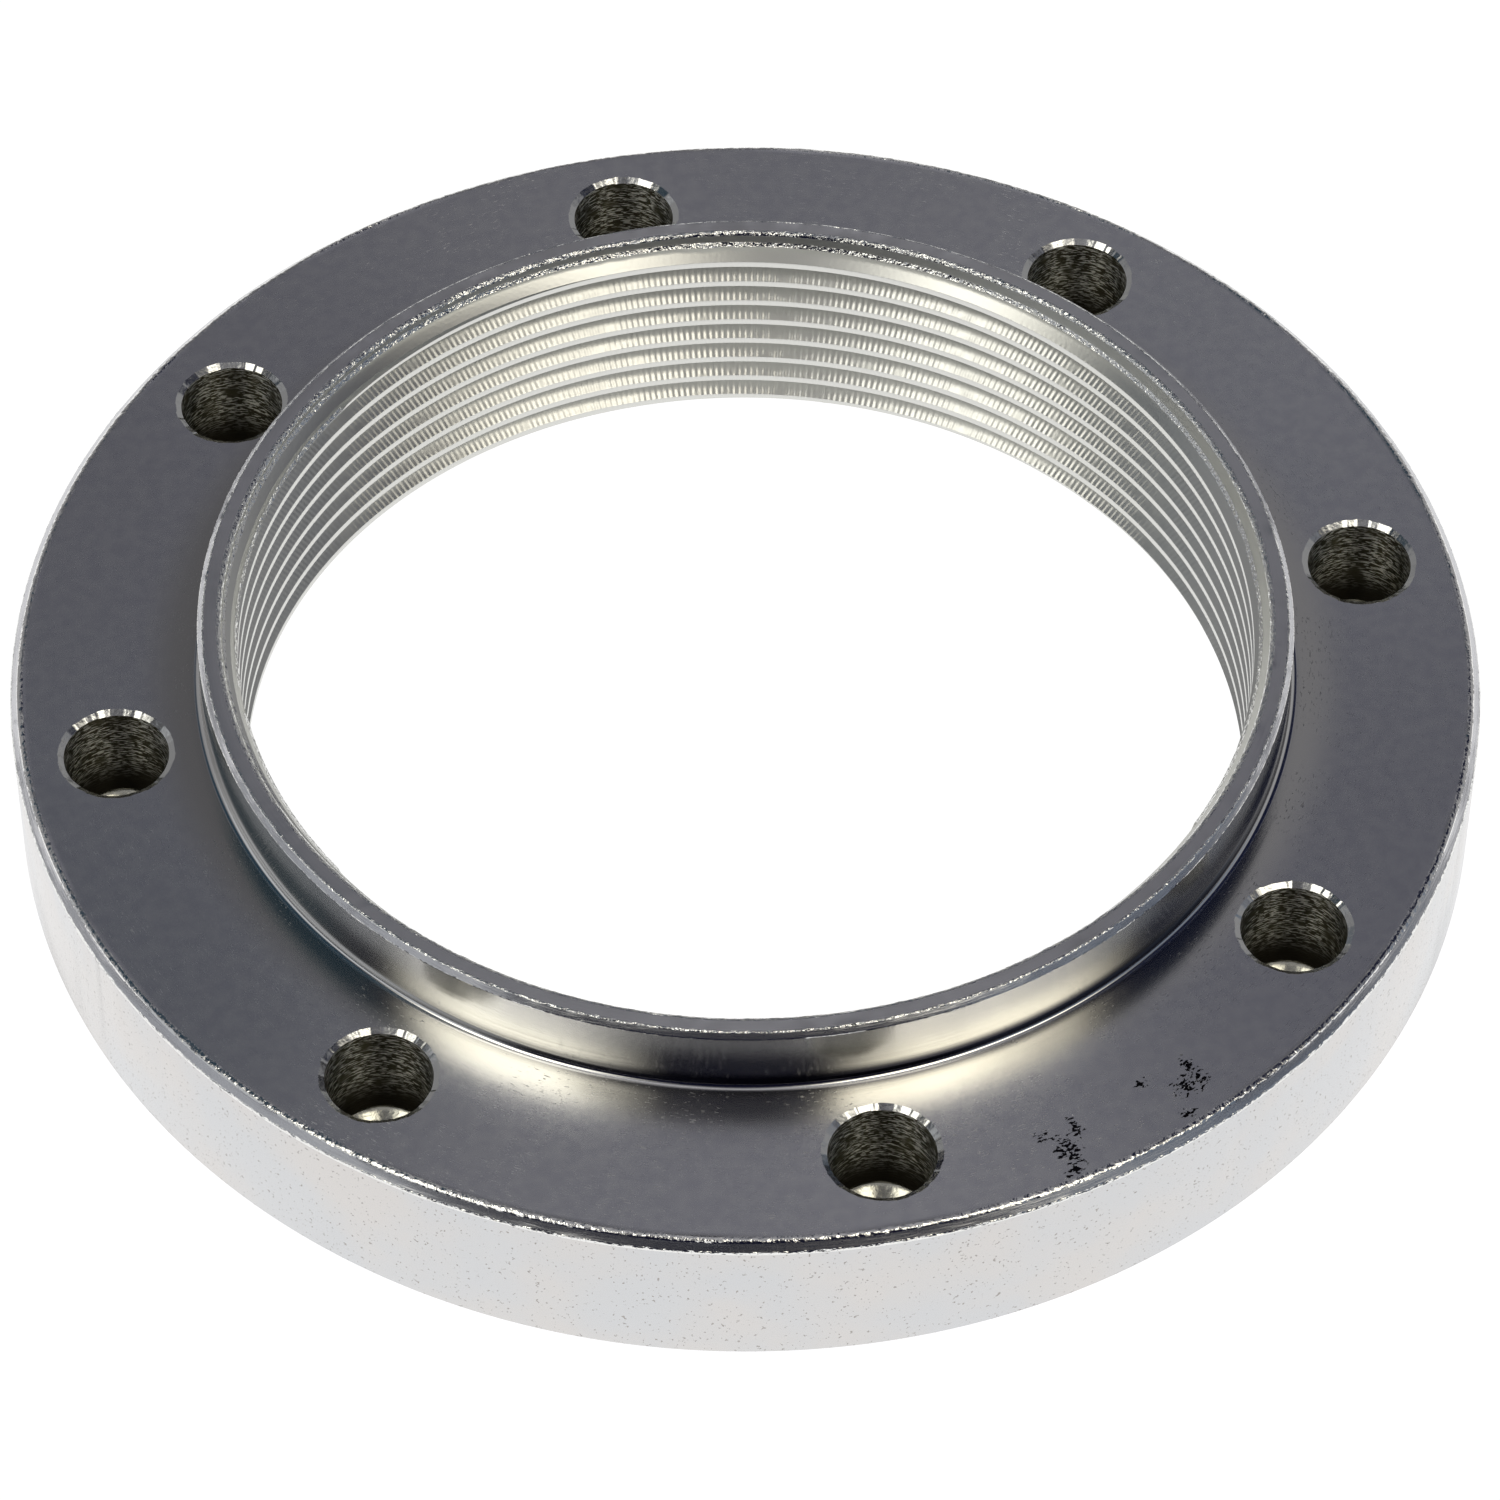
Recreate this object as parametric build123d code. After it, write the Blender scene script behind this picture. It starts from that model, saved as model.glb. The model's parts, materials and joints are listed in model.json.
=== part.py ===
from build123d import *
import os
from math import radians, tan

# Spindle nut: a threaded ring with a wide flange and a thin collar around the bore.
# A pin spanner turns it by eight blind holes in the flange face.
# Millimetres. The axis is Z, the bearing face lies at Z = 0 and the collar points up.

# Thread. The bore is modelled plain, at the radius of the thread's crests.
thread_major_dia = 55.0
thread_pitch = 1.5
thread_depth_per_pitch = 0.54127  # 60 degree thread, from the root down to the crest

# Mouths of the bore: a steep lead-in at the collar, a chamfer at the bearing face
mouth_clearance = 0.1  # how far both mouths open beyond the thread's largest radius
lead_in_half_angle = 30.0
exit_half_angle = 45.0

# Flange
flange_dia = 77.5
flange_thickness = 9.2
rim_chamfer = 0.5

# Collar
collar_wall = 1.2  # from the thread's largest radius out to the collar's side
collar_height = 4.0
collar_chamfer = 0.3
collar_fillet = 0.2

# Spanner holes: drilled blind from the flange face, then countersunk
pin_hole_count = 8
pin_hole_circle_dia = 67.0
pin_hole_dia = 5.5
pin_hole_depth = 6.1  # down to where the drill point begins
countersink_width = 0.3  # from the hole's wall out to the edge in the flange face
countersink_angle = 118.0  # cut with the point of a wider drill
drill_point_angle = 118.0
cut_overrun = 0.5  # how far a cutter's shape carries on above the face

# Sizes that follow
flange_radius = flange_dia / 2
thread_major_radius = thread_major_dia / 2
bore_radius = thread_major_radius - thread_depth_per_pitch * thread_pitch
mouth_radius = thread_major_radius + mouth_clearance
collar_radius = thread_major_radius + collar_wall
overall_height = flange_thickness + collar_height


def corner(section, radius, height):
    """The corner of a half section that lies at this radius and height."""
    return section.vertices().sort_by_distance((radius, height, 0))[0]


def turned_blank():
    """The ring as it leaves the lathe: its half section, spun about the axis."""
    mouth_step = mouth_radius - bore_radius
    lead_in_depth = mouth_step / tan(radians(lead_in_half_angle))
    exit_depth = mouth_step / tan(radians(exit_half_angle))
    outline = Polyline(
        (mouth_radius, 0),
        (flange_radius, 0),
        (flange_radius, flange_thickness),
        (collar_radius, flange_thickness),
        (collar_radius, overall_height),
        (mouth_radius, overall_height),
        (bore_radius, overall_height - lead_in_depth),
        (bore_radius, exit_depth),
        close=True,
    )
    section = make_face(outline)
    section = chamfer(corner(section, flange_radius, 0), length=rim_chamfer)
    section = chamfer(corner(section, flange_radius, flange_thickness), length=rim_chamfer)
    section = chamfer(corner(section, collar_radius, overall_height), length=collar_chamfer)
    section = fillet(corner(section, collar_radius, flange_thickness), radius=collar_fillet)
    return revolve(Plane.XZ * section, axis=Axis.Z)


def drilled_hole():
    """The space that drill and countersink leave, with the flange face at height zero."""
    radius = pin_hole_dia / 2
    point_depth = radius / tan(radians(drill_point_angle / 2))
    countersink_slope = tan(radians(countersink_angle / 2))
    outline = Polyline(
        (0, -pin_hole_depth - point_depth),
        (radius, -pin_hole_depth),
        (radius, -countersink_width / countersink_slope),
        (radius + countersink_width + cut_overrun * countersink_slope, cut_overrun),
        (0, cut_overrun),
        close=True,
    )
    return revolve(Plane.XZ * make_face(outline), axis=Axis.Z)


def spindle_nut():
    """The turned blank with its ring of spanner holes."""
    nut = turned_blank()
    flange_face = Pos(0, 0, flange_thickness)
    for place in PolarLocations(pin_hole_circle_dia / 2, pin_hole_count):
        nut -= flange_face * place * drilled_hole()
    return nut


os.makedirs("parts", exist_ok=True)
nut_body = spindle_nut()
export_step(nut_body, "parts/nut_body.step")
print("overall height", overall_height, "bore radius", round(bore_radius, 4))
print("volume in cubic centimetres", round(nut_body.volume / 1000, 3))
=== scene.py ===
# %% [markdown]
# # A zinc-plated spindle nut
# A nut like this sits on the end of a spindle and clamps a bearing. It is turned from one piece of steel:
# a wide flange, a thin collar and a fine thread, with eight blind holes for the pins of a spanner.
# This lesson dresses the solid model of the nut, which gives every size, and lights it as in a studio.

# %% The solid model
import json
from math import cos, radians, sin, tan

import bmesh
import bpy
import numpy as np
from mathutils import Matrix, Vector


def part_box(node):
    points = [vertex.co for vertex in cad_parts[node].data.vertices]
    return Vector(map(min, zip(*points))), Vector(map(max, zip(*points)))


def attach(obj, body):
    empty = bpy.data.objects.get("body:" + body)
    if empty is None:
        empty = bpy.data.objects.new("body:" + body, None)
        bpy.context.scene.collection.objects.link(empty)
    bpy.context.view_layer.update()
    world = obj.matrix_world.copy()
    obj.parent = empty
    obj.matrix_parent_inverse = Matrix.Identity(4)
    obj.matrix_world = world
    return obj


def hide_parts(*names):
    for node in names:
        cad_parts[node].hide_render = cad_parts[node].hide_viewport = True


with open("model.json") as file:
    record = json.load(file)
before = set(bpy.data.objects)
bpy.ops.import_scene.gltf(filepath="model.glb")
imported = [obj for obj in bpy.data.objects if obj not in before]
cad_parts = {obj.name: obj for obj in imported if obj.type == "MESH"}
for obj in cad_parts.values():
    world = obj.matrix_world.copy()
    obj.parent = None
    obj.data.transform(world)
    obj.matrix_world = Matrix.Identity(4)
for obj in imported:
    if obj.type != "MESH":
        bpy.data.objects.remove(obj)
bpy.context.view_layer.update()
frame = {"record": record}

# %% [markdown]
# ## Sizes
# Everything below is in millimetres until a mesh is handed to Blender. What the solid model states is read
# from it: the outer size and the two interfaces, the thread and the spanner holes. The rest are the small
# sizes of a turned part: chamfers, a fillet and the section of the thread.

# %% Sizes from the solid model
METRE = 1000.0
mounts = {mount["name"]: mount for mount in frame["record"]["mounts"]}
_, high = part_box("nut_body")
flange_radius = high[0] * METRE
overall_height = high[2] * METRE
crest_radius = mounts["thread"]["dims"]["r_mm"]
hole_count = mounts["spanner_holes"]["dims"]["count"]
hole_circle_radius = mounts["spanner_holes"]["dims"]["pcd_mm"] / 2
hole_radius = mounts["spanner_holes"]["dims"]["hole_r_mm"]

# %% Small sizes of the turned part
collar_height = 4.0
collar_chamfer = 0.3
collar_fillet = 0.38  # drawn wider than the solid's
collar_wall = 1.2  # from the thread's roots out to the collar's side
rim_chamfer = 0.5
pitch = 1.5
thread_depth = 0.54127 * pitch
mouth_clearance = 0.1
lead_in_clearance = 0.02  # burr and plating narrow the upper mouth
lead_in_angle = radians(30)
exit_angle = radians(45)
hole_depth = 6.1
countersink_width = 0.3
point_slope = tan(radians(90 - 118 / 2))  # how steeply a drill's point rises from its rim

face_height = overall_height - collar_height
root_radius = crest_radius + thread_depth
mouth_radius = root_radius + mouth_clearance
lead_in_radius = root_radius + lead_in_clearance
collar_radius = root_radius + collar_wall
print("flange", flange_radius, "collar", round(collar_radius, 3), "face at", round(face_height, 3))

# %% [markdown]
# ## Camera
# A long lens looks down at about 49 degrees. The distance and the aim come from fitting the ellipses of the
# flange and the collar. The room's directions are counted from the camera too.

# %% Camera
view_azimuth = radians(-11.962)
view_elevation = radians(49.371)
view_roll = radians(0.276)
view_distance = 359.34
aim_toward_camera = 6.517
aim_aside = 0.26

toward_camera = Vector((sin(view_azimuth), -cos(view_azimuth), 0))
to_the_right = Vector((cos(view_azimuth), sin(view_azimuth), 0))
aim = toward_camera * aim_toward_camera + to_the_right * aim_aside + Vector((0, 0, face_height))
backward = toward_camera * cos(view_elevation) + Vector((0, 0, sin(view_elevation)))
upward = backward.cross(to_the_right)
camera_data = bpy.data.cameras.new("camera")
camera_data.lens = 165.35
camera_data.clip_start = 0.01
camera = bpy.data.objects.new("camera", camera_data)
turned = Matrix((to_the_right, upward, backward)).transposed() @ Matrix.Rotation(view_roll, 3, "Z")
camera.matrix_world = Matrix.Translation((aim + backward * view_distance) / METRE) @ turned.to_4x4()
bpy.context.scene.collection.objects.link(camera)
bpy.context.scene.camera = camera
bpy.context.scene.view_settings.view_transform = "Standard"

# %% [markdown]
# ## Colours and nodes
# Colours are written as they are picked on a screen, as sRGB hex, and turned to the linear values that a
# renderer needs. One small function adds a node, with its settings, values and links, to any node tree.
# Shorter ones stand for the sums, the noises and the mixed colours that come up again and again.


# %% Helpers
def linear(hex_colour):
    """An sRGB colour such as #C8C9CC as linear red, green, blue and alpha."""
    shares = [int(hex_colour[i:i + 2], 16) / 255 for i in (1, 3, 5)]
    return tuple(s / 12.92 if s < 0.04045 else ((s + 0.055) / 1.055) ** 2.4 for s in shares) + (1.0,)


def add(tree, kind, inputs=None, **settings):
    """Adds a node. Inputs are given by name or number, each a value or another node's output."""
    made = tree.nodes.new(kind)
    for name, value in settings.items():
        setattr(made, name, value)
    for name, value in (inputs or {}).items():
        if isinstance(value, bpy.types.NodeSocket):
            tree.links.new(value, made.inputs[name])
        else:
            made.inputs[name].default_value = value
    return made


def dot(tree, first, second):
    """The dot product of two directions."""
    return add(tree, "ShaderNodeVectorMath", {0: first, 1: second}, operation="DOT_PRODUCT").outputs["Value"]


def times(tree, first, second):
    """The product of two numbers."""
    return add(tree, "ShaderNodeMath", {0: first, 1: second}, operation="MULTIPLY").outputs[0]


def times_plus(tree, value, factor, offset):
    """The value times a factor, plus an offset."""
    inputs = {0: value, 1: factor, 2: offset}
    return add(tree, "ShaderNodeMath", inputs, operation="MULTIPLY_ADD").outputs[0]


def rise_between(tree, value, start, end):
    """Climbs smoothly from 0 where the value is at its start to 1 where it is at its end."""
    limits = {"Value": value, "From Min": start, "From Max": end}
    return add(tree, "ShaderNodeMapRange", limits, interpolation_type="SMOOTHSTEP").outputs[0]


def cover(tree, share, under, over):
    """Covers one colour with another by this share."""
    mixed = add(tree, "ShaderNodeMix", {"Factor": share, "A": under, "B": over}, data_type="RGBA")
    return mixed.outputs["Result"]


def noise(tree, place, scale, detail):
    """Cloudy noise about 0.5. The larger its scale, the finer its grains."""
    inputs = {"Vector": place, "Scale": scale, "Detail": detail}
    return add(tree, "ShaderNodeTexNoise", inputs).outputs["Fac"]


# %% [markdown]
# ## Studio
# Bright metal has no look of its own: it shows what stands around it. Two large soft boxes hang high to the
# left and the right of the camera, each made of a lower and an upper panel. The camera stands in the dark
# gap between them, which draws the dark line down the front of the collar, and a grey strip hangs above the
# gap. The wall behind the nut is dim, which gives the flange's face its slate grey. Dark curtains hang
# beside it, pale screens stand below them and a pale ceiling closes the room.
# The room is painted on the world by direction, so it lights every view of the nut alike.

# %% The room as seen from the nut
# Each panel has a bearing from the camera, half a width and a soft edge, then an elevation, half a height
# and a soft edge, all in degrees, and its colour and brightness. Later panels cover earlier ones.
panels = [
    (0, 180, 8, 0, 18, 8, "#9C9C9C", 1.0),  # horizon
    (132, 30, 6, 11, 33, 6, "#9E9EA0", 1.0),  # pale screens behind
    (-120, 28, 6, 11, 33, 6, "#949496", 1.0),
    (127, 36, 5, 56, 12, 5, "#10162E", 1.0),  # dark curtains behind
    (143, 22, 5, 46, 10, 5, "#10162E", 1.0),
    (-127, 34, 5, 56, 12, 5, "#263A48", 1.0),
    (0, 92, 8, 20, 42, 8, "#0A0D24", 1.0),  # dark gap round the camera
    (-78, 34, 5, 25, 14, 5, "#C2C5C9", 1.0),  # low screens beside the camera
    (74, 34, 5, 27, 12, 5, "#76808F", 1.0),
    (0, 180, 8, 90, 13, 8, "#A8A8AC", 1.0),  # ceiling
    (0, 12, 8, 69, 9, 5, "#4A4A52", 1.0),  # grey strip above the gap
    (-49, 20, 14, 50, 7, 5, "#FFFDF3", 2.7),  # lower panels of the soft boxes
    (52, 24, 15, 50, 7, 5, "#FFFAEB", 2.7),
    (-63, 20, 6, 64, 8, 5, "#FFFDF3", 2.9),  # upper panels of the soft boxes
    (43, 19, 6, 64, 8, 5, "#FFFAEB", 3.1),
]
back_wall_colours = linear("#626267"), linear("#8E8E94")  # at its lower left and its upper right
wall_slant = 0.6  # how much a rise counts against a step aside, on the way from one to the other
wall_change = 0.42, 0.62  # where on that way the first colour ends and the second begins

world = bpy.data.worlds.new("studio")
world.use_nodes = True
world.node_tree.nodes.clear()
bpy.context.scene.world = world
room = world.node_tree

look = add(room, "ShaderNodeTexCoord").outputs["Generated"]
aside = dot(room, look, to_the_right)
ahead = dot(room, look, toward_camera)
rise = add(room, "ShaderNodeSeparateXYZ", {0: look}).outputs["Z"]
bearing = add(room, "ShaderNodeMath", {0: aside, 1: ahead}, operation="ARCTAN2").outputs[0]
elevation = add(room, "ShaderNodeMath", {0: rise}, operation="ARCSINE").outputs[0]


def window(value, middle, half_width, edge):
    """1 where the value lies near the middle, 0 outside, with a soft edge. All are angles in degrees."""
    off = add(room, "ShaderNodeMath", {0: value, 1: radians(middle)}, operation="SUBTRACT").outputs[0]
    off = add(room, "ShaderNodeMath", {0: off}, operation="ABSOLUTE").outputs[0]
    return rise_between(room, off, radians(half_width + edge), radians(half_width - edge))


along_wall = times_plus(room, elevation, wall_slant, aside)
light = cover(room, rise_between(room, along_wall, *wall_change), *back_wall_colours)
for middle, half_width, side_edge, height, half_height, top_edge, colour, brightness in panels:
    across = window(bearing, middle, half_width, side_edge)
    share = times(room, across, window(elevation, height, half_height, top_edge))
    shone = [brightness * channel for channel in linear(colour)[:3]]
    light = cover(room, share, light, (*shone, 1.0))
shade = add(room, "ShaderNodeBackground", {"Color": light, "Strength": 1.0})
add(room, "ShaderNodeOutputWorld", {"Surface": shade.outputs[0]})
print("room painted with", len(panels), "panels")

# %% [markdown]
# ## Floor
# The nut stands on a light table, a sheet of white opal glass that is lit from below. It leaves no shadow,
# shows pure white, and fills the lower half of every reflection, so the flange's wall comes out light grey.

# %% Light table
floor_half_size = 5.0  # in metres
floor_height = -0.00003  # in metres, so that the table and the nut don't share a plane
square = (-1, -1), (1, -1), (1, 1), (-1, 1)
table = bpy.data.meshes.new("floor")
corners = [(x * floor_half_size, y * floor_half_size, floor_height) for x, y in square]
table.from_pydata(corners, [], [(0, 1, 2, 3)])
floor = bpy.data.objects.new("floor", table)
bpy.context.scene.collection.objects.link(floor)
opal_glass = bpy.data.materials.new("white_opal_glass")
opal_glass.use_nodes = True
glass = opal_glass.node_tree.nodes["Principled BSDF"].inputs
glass["Base Color"].default_value = linear("#7C7C7C")
glass["Roughness"].default_value = 0.8
glass["Emission Color"].default_value = linear("#FFFFFF")
glass["Emission Strength"].default_value = 0.97
table.materials.append(opal_glass)

# %% [markdown]
# ## Zinc-plated steel
# The nut was machined, then plated with a few thousandths of a millimetre of zinc. The plating keeps each
# tool's marks, so every surface is the same metal with another pattern: rings on the faces, fine bands on
# the cylinders, chatter across the thread and short arcs round the drilled holes.
# Patterns are drawn in the part's own coordinates, by distance from the axis, heading and height.


# %% One metal for all finishes
def zinc_plated(name, colour, roughness):
    """A material of bright plated steel: a bare metal shader that each finish then works on."""
    made = bpy.data.materials.new(name)
    made.use_nodes = True
    made.node_tree.nodes.clear()
    shader = add(made.node_tree, "ShaderNodeBsdfPrincipled", {"Metallic": 1.0, "Roughness": roughness})
    shader.inputs["Base Color"].default_value = linear(colour)
    add(made.node_tree, "ShaderNodeOutputMaterial", {"Surface": shader.outputs[0]})
    return made, made.node_tree, shader


def lathe_grooves(tree, shader, share, around=None):
    """Spreads reflections across the fine grooves that a tool leaves round an axis, not along them."""
    around = around or add(tree, "ShaderNodeTangent", direction_type="RADIAL", axis="Z").outputs[0]
    tree.links.new(around, shader.inputs["Tangent"])
    shader.inputs["Anisotropic"].default_value = share
    shader.inputs["Anisotropic Rotation"].default_value = 0.25  # a quarter turn


def lathe_place(tree):
    """Where a point lies on a turned part, in millimetres: its place, radius, heading and height."""
    place = add(tree, "ShaderNodeTexCoord").outputs["Object"]
    place = add(tree, "ShaderNodeVectorMath", {0: place, "Scale": METRE}, operation="SCALE").outputs[0]
    flat = add(tree, "ShaderNodeVectorMath", {0: place, 1: (1, 1, 0)}, operation="MULTIPLY").outputs[0]
    radius = add(tree, "ShaderNodeVectorMath", {0: flat}, operation="LENGTH").outputs["Value"]
    heading = add(tree, "ShaderNodeVectorMath", {0: flat}, operation="NORMALIZE").outputs[0]
    height = add(tree, "ShaderNodeSeparateXYZ", {0: place}).outputs["Z"]
    return place, radius, heading, height


def tool_lines(tree, heading, across, spacing, length, also_across=None):
    """Noise drawn out along the cut. Its lines have this length along it and this spacing across it, in one
    direction or in two."""
    inputs = {0: heading, "Scale": flange_radius / length}
    along = add(tree, "ShaderNodeVectorMath", inputs, operation="SCALE").outputs[0]
    up = add(tree, "ShaderNodeCombineXYZ", {"Z": times(tree, across, 1 / spacing)}).outputs[0]
    spot = add(tree, "ShaderNodeVectorMath", {0: along, 1: up}, operation="ADD").outputs[0]
    inputs = {"Vector": spot, "Scale": 1.0, "Detail": 2.0}
    if also_across:
        inputs["W"] = times(tree, also_across, 1 / spacing)
    dimensions = "4D" if also_across else "3D"
    return add(tree, "ShaderNodeTexNoise", inputs, noise_dimensions=dimensions).outputs["Fac"]


def raise_surface(tree, shader, height, depth, below=None):
    """Bumps the surface by a pattern from 0 to 1, this many millimetres deep, on top of another bump."""
    inputs = {"Height": height, "Distance": depth / METRE, "Strength": 1.0}
    if below:
        inputs["Normal"] = below
    bump = add(tree, "ShaderNodeBump", inputs).outputs[0]
    tree.links.new(bump, shader.inputs["Normal"])
    return bump


# %% [markdown]
# ### Faced steel
# The flange's face was cut by a tool that moved outwards as the part turned. It leaves rings about a tenth
# of a millimetre apart. They are drawn twice as far apart, because finer ones don't show in the picture.

# %% Faced steel
faced_colour = "#DADADC"
faced, tree, shader = zinc_plated("zinc_plated_faced_steel", faced_colour, 0.24)
lathe_grooves(tree, shader, 0.8)
place, radius, heading, _ = lathe_place(tree)
rings = tool_lines(tree, heading, radius, 0.2, 25)
bump = raise_surface(tree, shader, rings, 0.002)
grain = noise(tree, place, 3.0, 3.0)
bump = raise_surface(tree, shader, grain, 0.0008, bump)

# %% [markdown]
# Handling has left its traces. Fine scratches along the rings scatter the light, so they are rough and deep
# and come out pale on the dark face. They gather in clouds, because parts rub where they touch.
# Beside the collar the tool slowed down and left the face smooth, so there it mirrors the collar's wall.
# It is also a little warmer there, and painted a little darker as painted shade in that corner, which dims
# its highlights.

# %% Scratches on the face
scratch = tool_lines(tree, heading, radius, 0.08, 0.45)
cloud = noise(tree, place, 0.22, 2.0)
scratches = times(tree, rise_between(tree, scratch, 0.62, 0.72), rise_between(tree, cloud, 0.4, 0.62))
bump = raise_surface(tree, shader, scratches, 0.0015, bump)
away = rise_between(tree, radius, collar_radius + 0.8, collar_radius + 3.6)
rough = times_plus(tree, away, 0.13, 0.12)
rough = times_plus(tree, scratches, 0.3, rough)
tree.links.new(rough, shader.inputs["Roughness"])

# %% [markdown]
# Two pitted scuffs lie near the rim, in front, with a few specks round them. Each is a cluster of short black
# dents along the rings. A Mapping node of the kind Texture turns the place into the scuff's own coordinates,
# in which its edge lies at a distance of 1.

# %% Scuffs on the face
scuffs = [  # heading in degrees, radius, half its size outwards and along the rings, in millimetres
    (284.4, 36.5, 1.5, 1.0),
    (286.0, 35.3, 1.0, 0.5),
    (283.2, 35.1, 0.5, 0.6),
    (284.0, 37.7, 0.4, 0.8),
    (296.4, 36.1, 1.0, 1.4),
    (297.4, 35.2, 0.9, 0.5),
    (293.0, 34.7, 0.5, 0.6),
    (294.4, 37.5, 0.4, 0.7),
]
pitted = 0.0
for scuff_heading, scuff_radius, outwards, along in scuffs:
    turned_by = radians(scuff_heading)
    middle = scuff_radius * cos(turned_by), scuff_radius * sin(turned_by), face_height
    inputs = {"Vector": place, "Location": middle, "Rotation": (0, 0, turned_by)}
    inputs["Scale"] = outwards, along, 1.0
    spot = add(tree, "ShaderNodeMapping", inputs, vector_type="TEXTURE").outputs[0]
    off = add(tree, "ShaderNodeVectorMath", {0: spot}, operation="LENGTH").outputs["Value"]
    near = rise_between(tree, off, 1.0, 0.2)
    pitted = add(tree, "ShaderNodeMath", {0: near, 1: pitted}, operation="MAXIMUM").outputs[0]
dent = tool_lines(tree, heading, radius, 0.15, 0.3)
dent = times_plus(tree, pitted, 0.17, dent)
dents = times(tree, rise_between(tree, dent, 0.64, 0.67), rise_between(tree, pitted, 0.02, 0.1))
raise_surface(tree, shader, dents, -0.03, bump)
mottle = noise(tree, place, 1.3, 5.0)
face_colour_and_shade = cover(tree, rise_between(tree, mottle, 0.3, 0.7), linear(faced_colour), linear("#CFCFD4"))
# Beside the collar: a warmer tint of the plating, and painted shade that darkens the corner.
face_colour_and_shade = cover(tree, away, linear("#CECCC6"), face_colour_and_shade)
face_colour_and_shade = cover(tree, dents, face_colour_and_shade, linear("#1C1A1E"))
tree.links.new(face_colour_and_shade, shader.inputs["Base Color"])

# %% [markdown]
# ### Turned steel
# The flange's wall was cut by a tool moving along the axis, so its lines run round it. A few small pits are
# left, where a chip was torn out, and the plating is tinted faintly warm and cold in patches.

# %% Turned steel
turned_steel, tree, shader = zinc_plated("zinc_plated_turned_steel", "#D0CFCF", 0.2)
lathe_grooves(tree, shader, 0.6)
place, _, heading, height = lathe_place(tree)
bands = tool_lines(tree, heading, height, 0.3, 30)
bump = raise_surface(tree, shader, bands, 0.0008)
pit = noise(tree, place, 5.5, 2.0)
pits = rise_between(tree, pit, 0.66, 0.7)
raise_surface(tree, shader, pits, -0.008, bump)
haze = noise(tree, place, 0.13, 3.0)
tinted = cover(tree, rise_between(tree, haze, 0.35, 0.65), linear("#CECFD1"), linear("#D3D0CE"))
spotted = cover(tree, pits, tinted, linear("#A8A4A0"))
tree.links.new(spotted, shader.inputs["Base Color"])

# %% [markdown]
# ### Fine-turned steel
# The collar was finished with a slow feed. Its fine grooves run round it, so its wall is a mirror sideways,
# where the soft boxes and the dark gap between them keep their sides, but smears what it shows up and down.
# It was cut less cleanly towards its top, which blurs the spanner holes that it mirrors there.
#
# Just above its foot, most of all on one side, the wall is painted dark: painted shade in the corner between
# collar and face.

# %% Fine-turned steel
# The painted shade at the collar's foot is strongest on this side.
shade_heading = radians(313)
shaded_side = Vector((cos(shade_heading), sin(shade_heading), 0))
shade_foot = face_height + 0.08, face_height + 0.2  # heights where it sets in and is full
shade_top = face_height + 1.2, face_height + 0.5  # heights where it ends and is still full
shade_spread = -0.5, 0.8  # cosines of how far round from that side it ends and is full


def painted_shade_above_foot(tree, heading, height, unshaded):
    """The unshaded colour, covered by painted shade in a band just above the foot of the collar."""
    side = dot(tree, heading, shaded_side)
    foot = rise_between(tree, height, *shade_foot)
    band = times(tree, foot, rise_between(tree, height, *shade_top))
    share = times(tree, band, rise_between(tree, side, *shade_spread))
    # Painted shade: the colour darkens towards #3C3C48 in this band.
    return cover(tree, share, linear(unshaded), linear("#3C3C48"))


fine_turned, tree, shader = zinc_plated("zinc_plated_fine_turned_steel", "#E2E1DE", 0.14)
lathe_grooves(tree, shader, 0.95)
_, _, heading, height = lathe_place(tree)
bands = tool_lines(tree, heading, height, 0.2, 20)
raise_surface(tree, shader, bands, 0.004)
higher = rise_between(tree, height, face_height + 1.6, face_height + 3.2)
rough = times_plus(tree, higher, 0.1, 0.12)
tree.links.new(rough, shader.inputs["Roughness"])
tree.links.new(painted_shade_above_foot(tree, heading, height, "#E2E1DE"), shader.inputs["Base Color"])

# %% [markdown]
# ### Chamfered steel
# A chamfer is cut with the whole edge of the tool at once, which leaves it streaky.

# %% Chamfered steel
chamfered, tree, shader = zinc_plated("zinc_plated_chamfer", "#CACACD", 0.27)
lathe_grooves(tree, shader, 0.4)
_, _, heading, height = lathe_place(tree)
streaks = tool_lines(tree, heading, height, 0.08, 1.5)
raise_surface(tree, shader, streaks, 0.012)

# %% [markdown]
# ### Lead-in
# The cone at the mouth of the bore was opened with a dull tool before the thread was cut. It is rougher than
# the other chamfers, so it looks grey and sparkles a little.

# %% Lead-in
lead_in_steel, tree, shader = zinc_plated("zinc_plated_lead_in", "#C4C4BE", 0.42)
_, _, heading, height = lathe_place(tree)
streaks = tool_lines(tree, heading, height, 0.1, 1.0)
raise_surface(tree, shader, streaks, 0.015)

# %% [markdown]
# ### Coarse-faced steel
# The collar's top was faced with a coarser feed than the flange, so it spreads light further across its
# rings.

# %% Coarse-faced steel
coarse_faced, tree, shader = zinc_plated("zinc_plated_coarse_faced_steel", "#E8E7E7", 0.28)
lathe_grooves(tree, shader, 0.6)
_, radius, heading, _ = lathe_place(tree)
rings = tool_lines(tree, heading, radius, 0.12, 6)
raise_surface(tree, shader, rings, 0.004)

# %% [markdown]
# ### Rolled edges
# The outer edges carry a smooth lip, where the tool pushed the metal over. It is polished by handling, so it
# draws a white line wherever its rounding faces a soft box. Small dents break that line up.

# %% Rolled edges
rolled_edge, tree, shader = zinc_plated("zinc_plated_rolled_edge", "#E6E5E3", 0.14)
place, _, _, _ = lathe_place(tree)
dented = noise(tree, place, 2.5, 3.0)
raise_surface(tree, shader, dented, 0.08)

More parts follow.
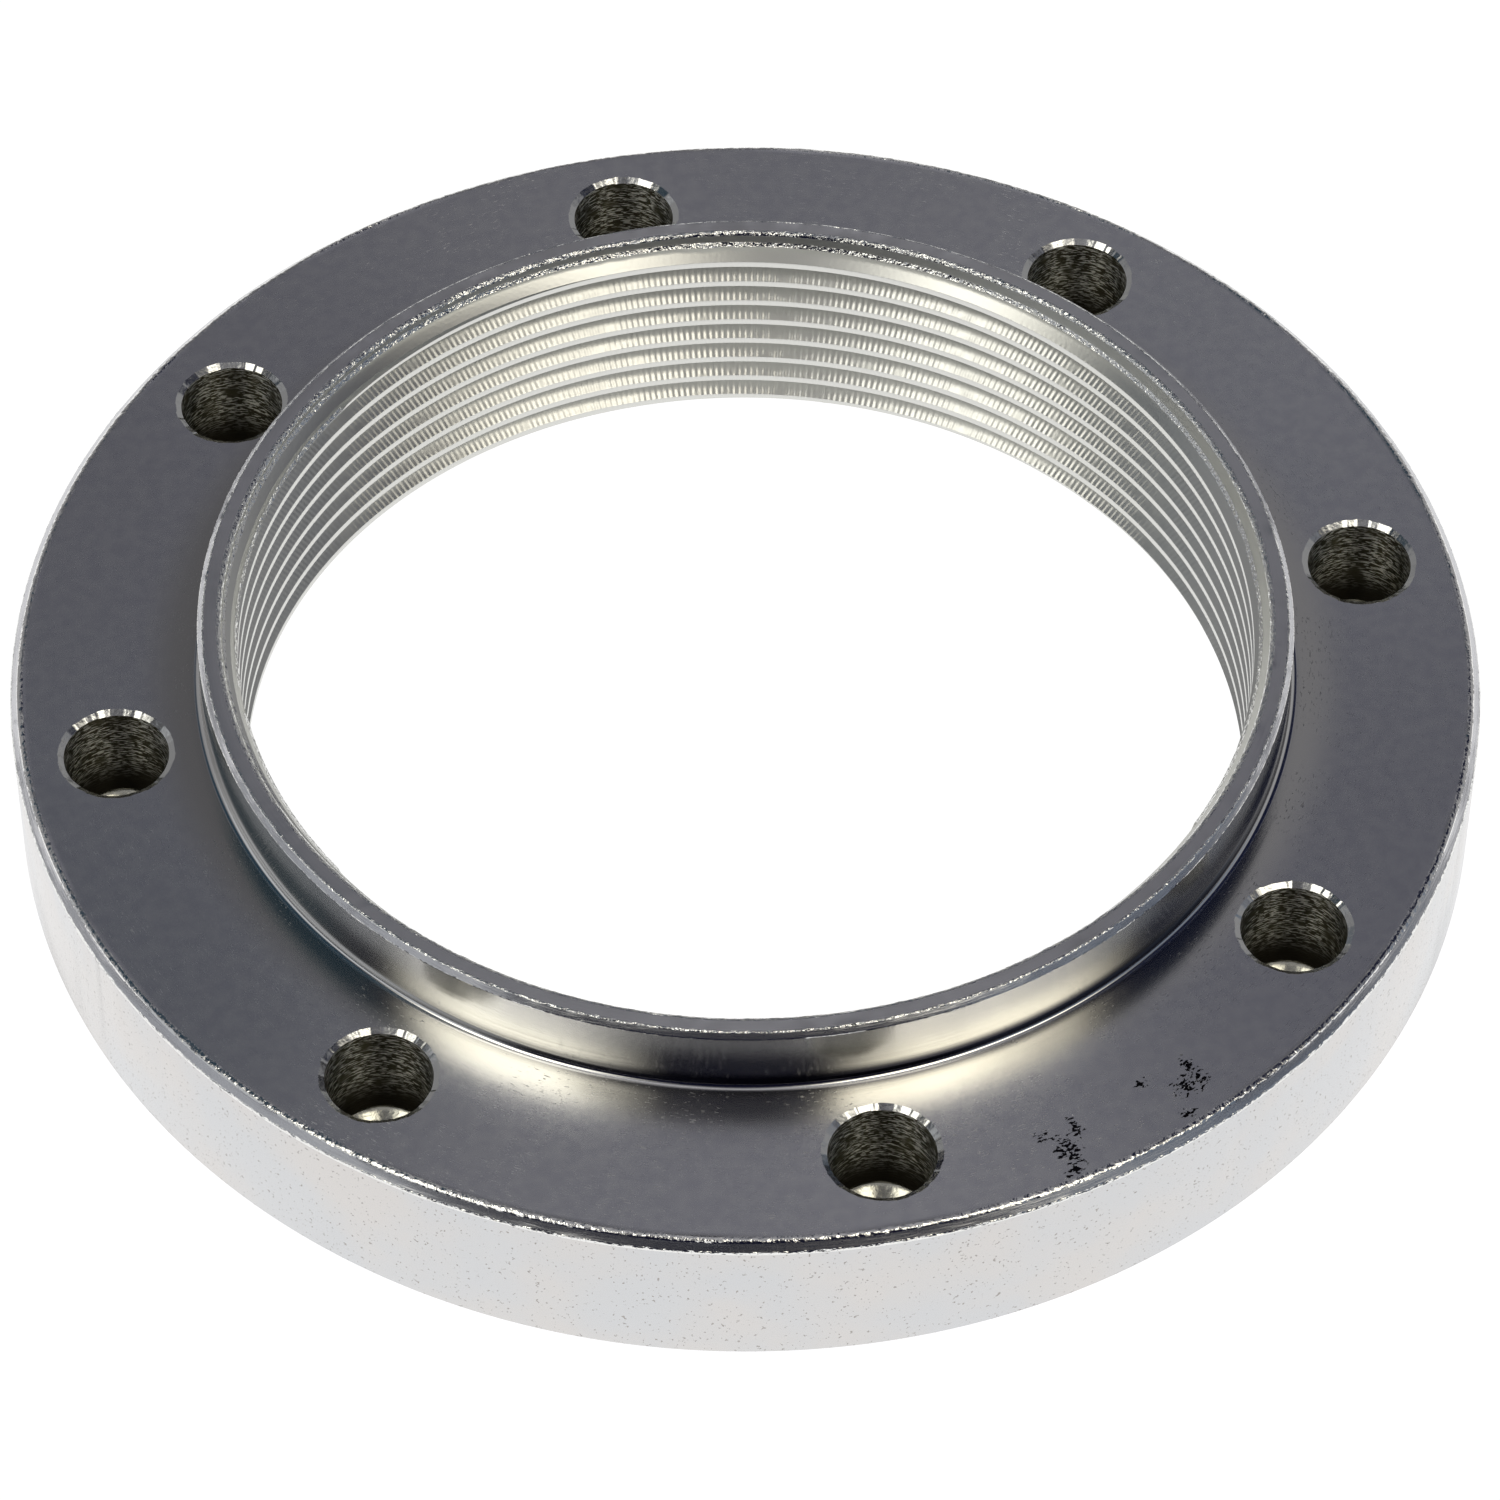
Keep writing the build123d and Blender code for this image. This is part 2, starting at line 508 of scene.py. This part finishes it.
# %% [markdown]
# ### Root of the collar
# The narrow fillet between face and collar has the smoothness of the tool's nose, so it draws a white line.
# Above that line it has the same painted shade as the collar's wall.

# %% Root of the collar
root_steel, tree, shader = zinc_plated("zinc_plated_collar_root", "#E6E5E3", 0.14)
_, _, heading, height = lathe_place(tree)
tree.links.new(painted_shade_above_foot(tree, heading, height, "#E6E5E3"), shader.inputs["Base Color"])

# %% [markdown]
# ### Ragged edges
# Where two cuts meet, a thin burr stands up. The plating rounds it over, and its small dents sparkle.

# %% Ragged edges
ragged_steel, tree, shader = zinc_plated("zinc_plated_burr", "#EAEAE8", 0.16)
_, radius, heading, height = lathe_place(tree)
dashes = tool_lines(tree, heading, height, 0.2, 0.35, also_across=radius)
raise_surface(tree, shader, dashes, 0.12)

# %% [markdown]
# ### Countersunk steel
# The countersinks are cut with the point of a wider drill that chatters, so they are a ring of small flats.

# %% Countersunk steel
countersunk, tree, shader = zinc_plated("zinc_plated_countersink", "#D2D2D0", 0.17)
place, _, _, _ = lathe_place(tree)
grit = noise(tree, place, 4.0, 2.0)
raise_surface(tree, shader, grit, 0.012)

# %% [markdown]
# ### Tapped steel
# The threading tool chattered: its flanks carry fine ticks across the thread, about three in two degrees.
# The depth of the ticks comes and goes. Between them the flanks are dull, which softens what they mirror.

# %% Tapped steel
chatter_count = 520
ticks_end, ticks_begin = 11.7, 11.2  # heights near the lead-in where they fade
tapped_steel, tree, shader = zinc_plated("zinc_plated_tapped_steel", "#D4D4D0", 0.29)
place, _, heading, height = lathe_place(tree)
parts = add(tree, "ShaderNodeSeparateXYZ", {0: heading}).outputs
angle = add(tree, "ShaderNodeMath", {0: parts["Y"], 1: parts["X"]}, operation="ARCTAN2").outputs[0]
ticks = add(tree, "ShaderNodeMath", {0: times(tree, angle, chatter_count)}, operation="SINE").outputs[0]
swell = noise(tree, place, 1.1, 1.0)
swell = times(tree, rise_between(tree, swell, 0.2, 0.55), rise_between(tree, height, ticks_end, ticks_begin))
bump = raise_surface(tree, shader, times(tree, ticks, swell), 0.0045)
scores = tool_lines(tree, heading, height, 0.09, 12)
bump = raise_surface(tree, shader, scores, 0.0008, bump)
grain = noise(tree, place, 5.0, 2.0)
raise_surface(tree, shader, grain, 0.004, bump)

# %% [markdown]
# ### Drilled steel
# A twist drill leaves short arcs round the wall of its hole. Plating hardly reaches inside, so the wall is
# darker than the rest, and stained olive and brown. The arcs are painted pale, as painted glints, and the
# wall is painted darker towards the bottom, as painted shade in the hole. The arcs run level round each
# hole's own axis, at right angles to the wall's normal, and smear what it mirrors into upright streaks.

# %% Drilled steel
drilled_steel, tree, shader = zinc_plated("zinc_plated_drilled_steel", "#A8A28C", 0.45)
outward = add(tree, "ShaderNodeTexCoord").outputs["Normal"]
level = add(tree, "ShaderNodeVectorMath", {0: outward, 1: (0, 0, 1)}, operation="CROSS_PRODUCT").outputs[0]
lathe_grooves(tree, shader, 0.85, level)
place, _, _, height = lathe_place(tree)
stretched = add(tree, "ShaderNodeVectorMath", {0: place, 1: (1.6, 1.6, 9)}, operation="MULTIPLY").outputs[0]
arcs = noise(tree, stretched, 1.4, 3.0)
raise_surface(tree, shader, arcs, 0.04)
blotch = noise(tree, place, 0.9, 2.0)
# Painted glints: the arcs' pale colour stands in for light caught by their flanks.
stain_glints_and_shade = cover(tree, rise_between(tree, arcs, 0.5, 0.57), linear("#5A5644"), linear("#FFFEF6"))
stain_glints_and_shade = cover(tree, rise_between(tree, blotch, 0.25, 0.5), linear("#6A6652"), stain_glints_and_shade)
# Painted shade: the wall is darker towards the bottom of the hole.
deep = rise_between(tree, height, face_height - 3.0, face_height - 5.5)
stain_glints_and_shade = cover(tree, deep, stain_glints_and_shade, linear("#3E3A30"))
tree.links.new(stain_glints_and_shade, shader.inputs["Base Color"])

# %% [markdown]
# ### Drill point
# The bottom of each hole is a shallow cone that the tip of the drill left. It is bright and finely ringed.

# %% Drill point
pointed, tree, shader = zinc_plated("zinc_plated_drill_point", "#C4C2B6", 0.2)
place, _, _, _ = lathe_place(tree)
grit = noise(tree, place, 2.5, 3.0)
raise_surface(tree, shader, grit, 0.02)

# %% Finishes by number
finishes = [faced, turned_steel, fine_turned, chamfered, coarse_faced, rolled_edge, ragged_steel]
FACED, TURNED, FINE, CHAMFERED, COARSE, ROLLED, RAGGED = range(len(finishes))
finishes += [root_steel, lead_in_steel, countersunk, tapped_steel, drilled_steel, pointed]
ROOT, LEAD_IN, COUNTERSUNK, TAPPED, DRILLED, POINTED = range(RAGGED + 1, len(finishes))

# %% [markdown]
# ## The nut as one mesh
# A turned part is a stack of rings, and the flange's face is a fan of grids, one round each hole. They share
# their vertices, so the nut is one closed skin. Rings carry a column every half degree, and the bore one
# every degree. The lists below collect the vertices, the faces and the finish of each face.

# %% Rings and the skins between them
COLUMNS = 720
BORE_COLUMNS = COLUMNS // 2
points = []
faces = []
finish_of_face = []
dice = np.random.default_rng(7)


def add_points(x, y, z):
    """Stores vertices and returns their numbers."""
    block = np.stack(np.broadcast_arrays(x, y, z), axis=-1).reshape(-1, 3)
    first = len(points)
    points.extend(block.tolist())
    return np.arange(first, len(points))


def ring(radius, height, count=COLUMNS):
    """A closed ring of vertices about the axis. Radius and height may vary along it."""
    angle = np.arange(count) * 2 * np.pi / count
    return add_points(radius * np.cos(angle), radius * np.sin(angle), height)


def skin(polygon, finish):
    """Stores one face, without its repeated corners, unless too few are left."""
    corners = list(dict.fromkeys(int(corner) for corner in polygon))
    if len(corners) > 2:
        faces.append(corners)
        finish_of_face.append(finish)


def bridge(first, second, finish):
    """Quads between two closed rings of as many vertices."""
    for a, b, c, d in zip(first, np.roll(first, -1), np.roll(second, -1), second):
        skin((a, b, c, d), finish)


def stitch(fine, coarse, finish):
    """Triangles between a ring and one that has half as many vertices."""
    following = np.roll(coarse, -1)
    for i, (here, after) in enumerate(zip(coarse, following)):
        start, middle, end = fine[2 * i], fine[2 * i + 1], fine[(2 * i + 2) % len(fine)]
        skin((start, middle, here), finish)
        skin((middle, after, here), finish)
        skin((middle, end, after), finish)


def ragged(count, reach, roughness=1.0):
    """How far a burr stands out along an edge: mostly a little, now and then up to its reach."""
    fine = 1 - roughness + roughness * dice.random(count) ** 2
    knots = count // 10
    coarse = np.interp(np.arange(count), np.linspace(0, count, knots + 1), dice.random(knots + 1) ** 2)
    return reach * fine * coarse


# %% [markdown]
# ## Turned outline
# A lathe cuts the nut from its half section. Each corner of the section is broken by a tiny rounding, which
# is what catches the light on real machined edges. Burrs push the ring on top of a corner outwards.


# %% Corners and strips
def unit(vector):
    """The vector at length one."""
    return vector / np.linalg.norm(vector)


def rounded(before, corner, after, size, steps):
    """Points that carry a section round a corner, from this far before it to as far behind it."""
    back, forth = unit(before - corner), unit(after - corner)
    shares = np.linspace(0, 1, steps)
    return [corner + size * ((1 - share) ** 2 * back + share ** 2 * forth) for share in shares]


smooth_lip_roughness = 0.35


def turn(section, corners, strips):
    """Spins a section into rings. Each inner corner has a size, a number of steps, a burr and the finish
    of that burr. Each strip between two corners has a finish. A ragged burr is drawn anew for each ring."""
    section = [np.array(corner, float) for corner in section]
    rings = [ring(*section[0])]
    for i, (size, steps, burr, burr_finish) in enumerate(corners, start=1):
        outward = unit(unit(section[i] - section[i - 1]) + unit(section[i] - section[i + 1]))
        roughness = 1.0 if burr_finish == RAGGED else smooth_lip_roughness
        lip = ragged(COLUMNS, burr, roughness)
        for number, step in enumerate(rounded(section[i - 1], section[i], section[i + 1], size, steps)):
            if burr_finish == RAGGED:
                lip = ragged(COLUMNS, burr, roughness)
            lift = lip if 0 < number < steps - 1 else 0
            rings.append(ring(step[0] + lift * outward[0], step[1] + lift * outward[1]))
            finish = strips[i - 1] if number <= steps // 2 else strips[i]
            bridge(rings[-2], rings[-1], burr_finish if burr_finish and number else finish)
    rings.append(ring(*section[-1]))
    bridge(rings[-2], rings[-1], strips[-1])
    return rings


# %% Flange, from the bore's lower mouth round to its face
plain_edge = (0.05, 3, 0, None)
light_lip = (0.1, 5, 0.03, RAGGED)
rim_lip = (0.2, 6, 0.08, ROLLED)
exit_step = 0.06  # how far the turned rings reach into the lower mouth
rim_land = 0.4  # plain strip of the face between its edge and the grids
rim_radius = flange_radius - rim_chamfer
flange_section = [
    (mouth_radius - exit_step, exit_step / tan(exit_angle)),
    (mouth_radius, 0),
    (rim_radius, 0),
    (flange_radius, rim_chamfer),
    (flange_radius, face_height - rim_chamfer),
    (rim_radius, face_height),
    (rim_radius - rim_land, face_height),
]
flange_rings = turn(
    flange_section,
    corners=[(0.02, 3, 0, None), plain_edge, plain_edge, light_lip, rim_lip],
    strips=[TURNED, FACED, CHAMFERED, TURNED, CHAMFERED, FACED],
)

# %% Collar, from the flange's face up and over to the lead-in
lead_in_step = 0.2  # how far the turned rings reach down the lead-in
collar_corners = [
    (collar_fillet, 9, 0, ROOT),
    (0.05, 3, 0.01, ROLLED),
    (0.08, 5, 0.05, RAGGED),
    (0.19, 6, 0.05, RAGGED),
]
collar_section = [
    (collar_radius + 2 * collar_fillet, face_height),
    (collar_radius, face_height),
    (collar_radius, overall_height - collar_chamfer),
    (collar_radius - collar_chamfer, overall_height),
    (lead_in_radius, overall_height),
    (lead_in_radius - lead_in_step * tan(lead_in_angle), overall_height - lead_in_step),
]
collar_rings = turn(
    collar_section,
    corners=collar_corners,
    strips=[FACED, FINE, CHAMFERED, COARSE, LEAD_IN],
)
print("turned rings:", len(flange_rings) + len(collar_rings))

# %% [markdown]
# ## Spanner holes
# Each hole has its own eighth of the face: a grid that grows from the hole's round edge to the sector's
# outline. The countersink was cut with the point of a wider drill, which chattered and left flats. The
# flats that face the soft boxes flash white. A flat is a plane, so each of its points lies where that
# plane meets the face or the wall of the hole.

# %% Grid of one sector
ARC = COLUMNS // hole_count
SIDE = 24
EDGE = 2 * (ARC + SIDE)
rim_ring, root_ring = flange_rings[-1], collar_rings[0]
outer_radius, inner_radius = flange_section[-1][0], collar_section[0][0]
side_radii = np.linspace(outer_radius, inner_radius, SIDE + 1)[1:-1]
sides = []
for number in range(hole_count):
    heading = (number + 0.5) * 2 * np.pi / hole_count
    sides.append(add_points(side_radii * cos(heading), side_radii * sin(heading), face_height))


def sector_outline(number):
    """Numbers of the vertices round one sector, from its outer arc inwards and back."""
    columns = (np.arange(ARC + 1) + number * ARC - ARC // 2) % COLUMNS
    outer, inner = rim_ring[columns], root_ring[columns[::-1]]
    return np.concatenate([outer, sides[number], inner, sides[number - 1][::-1]])


flat_count = 36
flat_widths = 0.5, 1.5  # of the narrowest and the widest flat, in proportion
flat_reach = -0.02, 0.05  # beyond the countersink's width
flat_tilt = 0.9, 1.1  # times the drill point's slope


def countersink(angle):
    """The chattered countersink: radius of its edge in the face, and depth of its edge in the hole."""
    widths = dice.uniform(*flat_widths, flat_count)
    edges = np.cumsum(widths) / widths.sum() * 2 * np.pi
    flat = np.searchsorted(edges, angle % (2 * np.pi), side="right") % len(edges)
    half_width = (np.diff(edges, prepend=0) / 2)[flat]
    off_middle = angle % (2 * np.pi) - edges[flat] + half_width
    reach = (hole_radius + countersink_width + dice.uniform(*flat_reach, flat_count))[flat]
    slope = (point_slope * dice.uniform(*flat_tilt, flat_count))[flat]
    distance = reach * np.cos(half_width)
    return distance / np.cos(off_middle), (distance - hole_radius * np.cos(off_middle)) * slope


# %% Drill the holes
edge_angle = (np.arange(EDGE) - ARC / 2) * 2 * np.pi / EDGE
face_shares = [0.6, 0.3, 0.1]  # of the way from the hole's edge out to the sector's outline
coarser_below = 0.4  # depth from which the wall has half as many columns
wall_depths = [1.2, 2.4, 3.6, 4.8, hole_depth - 0.05]
point_radii = [hole_radius - 0.03, 2.5, 2.2, 1.9, 1.6, 1.2, 0.8, 0.2]
tip_mark = 0.03  # height of the rings that the drill's tip left
for number in range(hole_count):
    heading = number * 2 * np.pi / hole_count
    centre = hole_circle_radius * np.array([cos(heading), sin(heading)])

    def hole_ring(radius, depth, count=EDGE):
        """A ring of vertices about the hole's own axis, this deep below the face."""
        angle = edge_angle[::EDGE // count] + heading
        x, y = centre[0] + radius * np.cos(angle), centre[1] + radius * np.sin(angle)
        return add_points(x, y, face_height - depth)

    outline = sector_outline(number)
    edge_radius, edge_depth = countersink(edge_angle)
    edge_ring = hole_ring(edge_radius, 0)
    outline_place = np.array([points[i] for i in outline])
    edge_place = np.array([points[i] for i in edge_ring])
    previous = outline
    for share in face_shares:
        between = edge_place + share * (outline_place - edge_place)
        current = add_points(between[:, 0], between[:, 1], between[:, 2])
        bridge(previous, current, FACED)
        previous = current
    bridge(previous, edge_ring, FACED)
    wall_ring = hole_ring(hole_radius, edge_depth)
    bridge(edge_ring, wall_ring, COUNTERSUNK)
    previous = hole_ring(hole_radius, coarser_below, EDGE // 2)
    stitch(wall_ring, previous, DRILLED)
    for depth in wall_depths:
        current = hole_ring(hole_radius, depth, EDGE // 2)
        bridge(previous, current, DRILLED)
        previous = current
    for step, radius in enumerate(point_radii):
        depth = hole_depth + (hole_radius - radius) * point_slope + tip_mark * (-1) ** step
        current = hole_ring(radius, depth, EDGE // 2)
        bridge(previous, current, POINTED)
        previous = current
    tip = hole_ring(0, hole_depth + hole_radius * point_slope, 1)[0]
    for here, after in zip(previous, np.roll(previous, -1)):
        skin((here, after, tip), POINTED)
print("drilled", hole_count, "holes, faces so far:", len(faces))

# %% [markdown]
# ## Thread
# The bore's wall is one function: the radius at an angle and a height. It is the larger of two radii, that
# of the thread and that of the cone at either mouth, so the thread runs out in the cones as a cut one does.
# The grid that samples it climbs with the thread. Where thread and cone cross, the nearest row is moved
# onto the crossing, which keeps the crease sharp.

# %% Section of the thread
crest_height = 11.525  # middle of a crest, at the heading below
crest_heading = radians(78.1)
crest_flat = pitch / 4
flank_run = pitch * 5 / 16
flank_slope = thread_depth / flank_run
crest_rounding = 0.03


def ramp(along):
    """Rises like a flank from zero on, with a rounded start."""
    return 0.5 * (flank_slope * along + np.sqrt((flank_slope * along) ** 2 + crest_rounding ** 2))


def thread_radius(angle, height):
    """Radius of the helical thread's surface."""
    turns = (height - crest_height) / pitch - (angle - crest_heading) / (2 * np.pi)
    off_crest = np.abs((turns + 0.5) % 1 - 0.5) * pitch
    return crest_radius + ramp(off_crest - crest_flat / 2) - ramp(off_crest - crest_flat / 2 - flank_run)


def cone_radius(height):
    """Radius of the two mouths, the steep lead-in above and the chamfer below."""
    lead_in = lead_in_radius - (overall_height - height) * tan(lead_in_angle)
    exit_cone = mouth_radius - height * tan(exit_angle)
    return np.maximum(lead_in, exit_cone)


# %% Rows that climb with the thread
row_offsets = [-0.66, -0.60, -0.24, -0.19, -0.15, 0.0, 0.15, 0.19, 0.24, 0.60, 0.66, 0.75]
lowest_turn = -9
turn_count = 12
bore_angle = np.arange(BORE_COLUMNS) * 2 * np.pi / BORE_COLUMNS
turn_starts = np.arange(lowest_turn, lowest_turn + turn_count) * pitch
row_start = np.array([start + offset for start in turn_starts for offset in row_offsets])
climb = crest_height + (bore_angle - crest_heading) / (2 * np.pi) * pitch
bore_height = climb[:, None] + row_start[None, :]
angle_grid = np.broadcast_to(bore_angle[:, None], bore_height.shape)


def margin(angle, height):
    """Positive where the cone has cut the thread away."""
    return cone_radius(height) - thread_radius(angle, height)


# %% Rows moved onto the crossings
on_crossing = np.zeros(bore_height.shape, bool)
sampled = margin(angle_grid, bore_height)
for row in range(bore_height.shape[1] - 1):
    crosses = np.flatnonzero(sampled[:, row] * sampled[:, row + 1] < 0)
    lower, upper = bore_height[crosses, row].copy(), bore_height[crosses, row + 1].copy()
    sign = np.sign(sampled[crosses, row])
    for _ in range(20):  # halves the gap round the crossing each time
        middle = (lower + upper) / 2
        same = np.sign(margin(bore_angle[crosses], middle)) == sign
        lower, upper = np.where(same, middle, lower), np.where(same, upper, middle)
    nearer = row + (upper - bore_height[crosses, row] > bore_height[crosses, row + 1] - upper)
    free = ~on_crossing[crosses, nearer]
    bore_height[crosses[free], nearer[free]] = upper[free]
    on_crossing[crosses[free], nearer[free]] = True
print("crossings:", int(on_crossing.sum()))

# %% [markdown]
# The threading tool has pushed up a burr where its groove breaks out into the lead-in cone. The row above the
# crossing is moved close to it, and the strip between the two gets the finish of a ragged edge.

# %% Burr round the lead-in
crossing_burr = 0.16  # width of the burr's strip
least_room = 0.02  # between that strip and the next row
burr_push = 0.08  # how far the burr leans into the bore everywhere
burr_reach = 0.15  # and how much further at most
burr_inside_crests = 0.05  # it may not reach further than this inside the crests
burred = np.zeros(bore_height.shape, bool)
for row in range(bore_height.shape[1] - 2):
    burr_height = bore_height[:, row] + crossing_burr
    on_cone = margin(bore_angle, burr_height) > 0
    room_above = bore_height[:, row + 2] > burr_height + least_room
    move = on_crossing[:, row] & ~on_crossing[:, row + 1] & on_cone & room_above
    move &= bore_height[:, row] > overall_height / 2
    bore_height[move, row + 1] = burr_height[move]
    burred[move, row] = True
print("burred:", int(burred.sum()))

# %% Skin of the bore
top_height = overall_height - 1.2 * lead_in_step  # just inside the last turned ring at either mouth
bottom_height = 2 * exit_step
top_ring = ring(cone_radius(top_height), top_height, BORE_COLUMNS)
bottom_ring = ring(cone_radius(bottom_height), bottom_height, BORE_COLUMNS)
stitch(collar_rings[-1], top_ring, LEAD_IN)
stitch(flange_rings[0], bottom_ring, TURNED)
bore_radius = np.maximum(thread_radius(angle_grid, bore_height), cone_radius(bore_height))
pushed = bore_radius[burred] - burr_push - ragged(int(burred.sum()), burr_reach)
bore_radius[burred] = np.maximum(pushed, crest_radius - burr_inside_crests)
numbers = add_points(bore_radius * np.cos(angle_grid), bore_radius * np.sin(angle_grid), bore_height)
numbers = numbers.reshape(bore_height.shape)
merge_distance = 0.015  # rows this close to a mouth's ring become part of it
numbers = np.where(bore_height > top_height - merge_distance, top_ring[:, None], numbers)
numbers = np.where(bore_height < bottom_height + merge_distance, bottom_ring[:, None], numbers)
rows = len(row_offsets)
wrapped = np.concatenate([numbers[0, rows:], np.full(rows, top_ring[0])])
numbers = np.vstack([numbers, wrapped])
wrapped = np.concatenate([on_crossing[0, rows:], np.zeros(rows, bool)])
on_crossing = np.vstack([on_crossing, wrapped])
middle_height = bore_height[:, :-1] + np.diff(bore_height) / 2
cut_by_cone = margin(angle_grid[:, :-1], middle_height) > 0
for column in range(BORE_COLUMNS):
    for row in range(numbers.shape[1] - 1):
        a, b = numbers[column, row], numbers[column + 1, row]
        c, d = numbers[column + 1, row + 1], numbers[column, row + 1]
        finish = LEAD_IN if cut_by_cone[column, row] else TAPPED
        if burred[column, row]:
            finish = RAGGED
        if on_crossing[column, row] and on_crossing[column + 1, row + 1]:
            skin((a, b, c), finish)
            skin((a, c, d), finish)
        elif on_crossing[column + 1, row] and on_crossing[column, row + 1]:
            skin((a, b, d), finish)
            skin((b, c, d), finish)
        else:
            skin((a, b, c, d), finish)
print("faces in all:", len(faces))

# %% [markdown]
# ## The finished piece
# The lists become one mesh. Creases sharper than 25 degrees stay sharp, everything else is shaded smooth,
# and the flats of the countersinks are shaded one by one.

# %% One closed mesh
mesh = bpy.data.meshes.new("nut_plated")
mesh.from_pydata(np.array(points) / METRE, [], faces)
for finish in finishes:
    mesh.materials.append(finish)
mesh.polygons.foreach_set("material_index", finish_of_face)
work = bmesh.new()
work.from_mesh(mesh)
bmesh.ops.delete(work, geom=[v for v in work.verts if not v.link_faces], context="VERTS")
bmesh.ops.recalc_face_normals(work, faces=work.faces)
open_edges = sum(not edge.is_manifold for edge in work.edges)
triangles = sum(len(face.verts) - 2 for face in work.faces)
work.to_mesh(mesh)
work.free()
mesh.polygons.foreach_set("use_smooth", [finish != COUNTERSUNK for finish in finish_of_face])
mesh.set_sharp_from_angle(angle=radians(25))
print("vertices", len(mesh.vertices), "triangles", triangles, "open edges", open_edges)

# %% Stand it in for the solid
nut = bpy.data.objects.new("nut_plated", mesh)
bpy.context.scene.collection.objects.link(nut)
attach(nut, "root")
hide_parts("nut_body")

bpy.context.view_layer.update()
